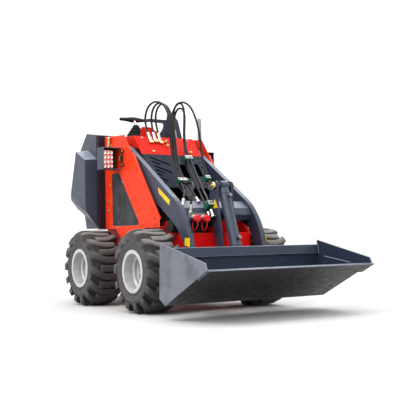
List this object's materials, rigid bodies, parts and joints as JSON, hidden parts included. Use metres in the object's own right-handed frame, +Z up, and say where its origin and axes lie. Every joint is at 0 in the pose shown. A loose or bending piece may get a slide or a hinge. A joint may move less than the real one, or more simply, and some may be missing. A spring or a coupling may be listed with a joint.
{
  "type": "wheeled stand-on skid steer loader",
  "caption": "Compact wheeled skid steer loader with a rear operator step, lift arms beside a hooded engine bay, hydraulic cylinders and a general-purpose bucket.",
  "frame": {"origin": "on the ground, below the middle of the overall length and width", "axes": "+X forward towards the bucket, +Y to the left, +Z up"},
  "size_m": [2.0658, 1.02, 1.2482],
  "materials": {
    "black_plastic": "textured black plastic",
    "bucket_paint": "charcoal powder coat",
    "charcoal_paint": "charcoal powder coat",
    "chrome_rod": "polished chrome",
    "clamp": "green moulded clamp",
    "coupler": "steel with red dust caps",
    "engine_paint": "black paint",
    "fitting": "zinc-plated steel and brass",
    "hose": "black rubber hose",
    "lamp": "clear lens in a black body",
    "mesh_black": "black perforated sheet",
    "post_paint": "light grey paint",
    "red_frame": "red powder coat",
    "red_paint": "orange-red gloss powder coat",
    "rim": "silver paint",
    "rubber": "black rubber",
    "tyre": "worn tread rubber"
  },
  "bodies": {
    "chassis": {"arm_bumpers": "rubber", "console": "red_paint", "console_fittings": "fitting", "control_lever": "black_plastic", "dash_tower": "charcoal_paint", "drive_motors": "engine_paint", "engine_block": "engine_paint", "hose_1": "hose", "hose_2": "hose", "hose_3": "hose", "hose_4": "hose", "hose_5": "hose", "hose_6": "hose", "inner_walls": "charcoal_paint", "lamp_guards": "charcoal_paint", "lamps": "lamp", "louvre_cover": "charcoal_paint", "lower_frame": "red_frame", "operator_platform": "charcoal_paint", "pivot_plates": "charcoal_paint", "ram_brackets": "red_frame", "rear_hood": "charcoal_paint", "side_panel_left": "red_paint", "side_panel_right": "red_paint", "side_post": "post_paint", "thigh_pad": "rubber", "window_meshes": "mesh_black"},
    "wheel_front_right": {"tyre_front_right": "tyre", "rim_front_right": "rim"},
    "wheel_front_left": {"tyre_front_left": "tyre", "rim_front_left": "rim"},
    "wheel_rear_right": {"tyre_rear_right": "tyre", "rim_rear_right": "rim"},
    "wheel_rear_left": {"tyre_rear_left": "tyre", "rim_rear_left": "rim"},
    "arms": {"arm_right": "charcoal_paint", "arm_left": "charcoal_paint", "arm_crossbeams": "charcoal_paint", "arm_clamps": "clamp", "hose_carrier": "charcoal_paint", "quick_couplers": "coupler"},
    "lift_barrel_right": {"lift_barrel_right": "charcoal_paint"},
    "lift_rod_right": {"lift_rod_right": "chrome_rod"},
    "lift_barrel_left": {"lift_barrel_left": "charcoal_paint"},
    "lift_rod_left": {"lift_rod_left": "chrome_rod"},
    "tilt_barrel": {"tilt_barrel": "charcoal_paint"},
    "tilt_rod": {"tilt_rod": "chrome_rod"},
    "bucket": {"attach_plate": "bucket_paint", "bucket": "bucket_paint", "cutting_edge": "bucket_paint"}
  },
  "joints": [
    {"name": "wheel_spin_front_right", "type": "hinge", "parent": "chassis", "child": "wheel_front_right", "pos_m": [0.205, -0.367, 0.228], "axis": [0, 1, 0], "continuous": true},
    {"name": "wheel_spin_front_left", "type": "hinge", "parent": "chassis", "child": "wheel_front_left", "pos_m": [0.205, 0.367, 0.228], "axis": [0, 1, 0], "continuous": true},
    {"name": "wheel_spin_rear_right", "type": "hinge", "parent": "chassis", "child": "wheel_rear_right", "pos_m": [-0.485, -0.367, 0.228], "axis": [0, 1, 0], "continuous": true},
    {"name": "wheel_spin_rear_left", "type": "hinge", "parent": "chassis", "child": "wheel_rear_left", "pos_m": [-0.485, 0.367, 0.228], "axis": [0, 1, 0], "continuous": true},
    {"name": "lift", "type": "hinge", "parent": "chassis", "child": "arms", "pos_m": [-0.39, 0, 0.955], "axis": [0, -1, 0], "range_deg": [0, 70], "deforming": ["hose_1", "hose_2", "hose_3", "hose_4", "hose_5", "hose_6"]},
    {"name": "bucket_tilt", "type": "hinge", "parent": "arms", "child": "bucket", "pos_m": [0.505, 0, 0.15], "axis": [0, 1, 0], "range_deg": [0, 115]},
    {"name": "lift_barrel_swing_right", "type": "hinge", "parent": "chassis", "child": "lift_barrel_right", "pos_m": [-0.23, -0.237, 0.33], "axis": [0, 1, 0], "range_deg": [0, 9.22]},
    {"name": "lift_rod_slide_right", "type": "slide", "parent": "lift_barrel_right", "child": "lift_rod_right", "axis": [-0.0688, 0, 0.9976], "range_m": [0, 0.24905]},
    {"name": "lift_barrel_swing_left", "type": "hinge", "parent": "chassis", "child": "lift_barrel_left", "pos_m": [-0.23, 0.237, 0.33], "axis": [0, 1, 0], "range_deg": [0, 9.22]},
    {"name": "lift_rod_slide_left", "type": "slide", "parent": "lift_barrel_left", "child": "lift_rod_left", "axis": [-0.0688, 0, 0.9976], "range_m": [0, 0.24905]},
    {"name": "tilt_barrel_swing", "type": "hinge", "parent": "arms", "child": "tilt_barrel", "pos_m": [0.398, 0, 0.687], "axis": [0, 1, 0], "range_deg": [0, 4.59]},
    {"name": "tilt_rod_slide", "type": "slide", "parent": "tilt_barrel", "child": "tilt_rod", "axis": [0.3351, 0, -0.9422], "range_m": [0, 0.16964]}
  ],
  "couplings": [
    {"joint": "lift_barrel_swing_right", "follows": "lift", "ratio": 0.13174},
    {"joint": "lift_rod_slide_right", "follows": "lift", "m_per_rad": 0.20385},
    {"joint": "lift_barrel_swing_left", "follows": "lift", "ratio": 0.13174},
    {"joint": "lift_rod_slide_left", "follows": "lift", "m_per_rad": 0.20385},
    {"joint": "tilt_barrel_swing", "follows": "bucket_tilt", "ratio": 0.039919},
    {"joint": "tilt_rod_slide", "follows": "bucket_tilt", "m_per_rad": 0.08452}
  ]
}
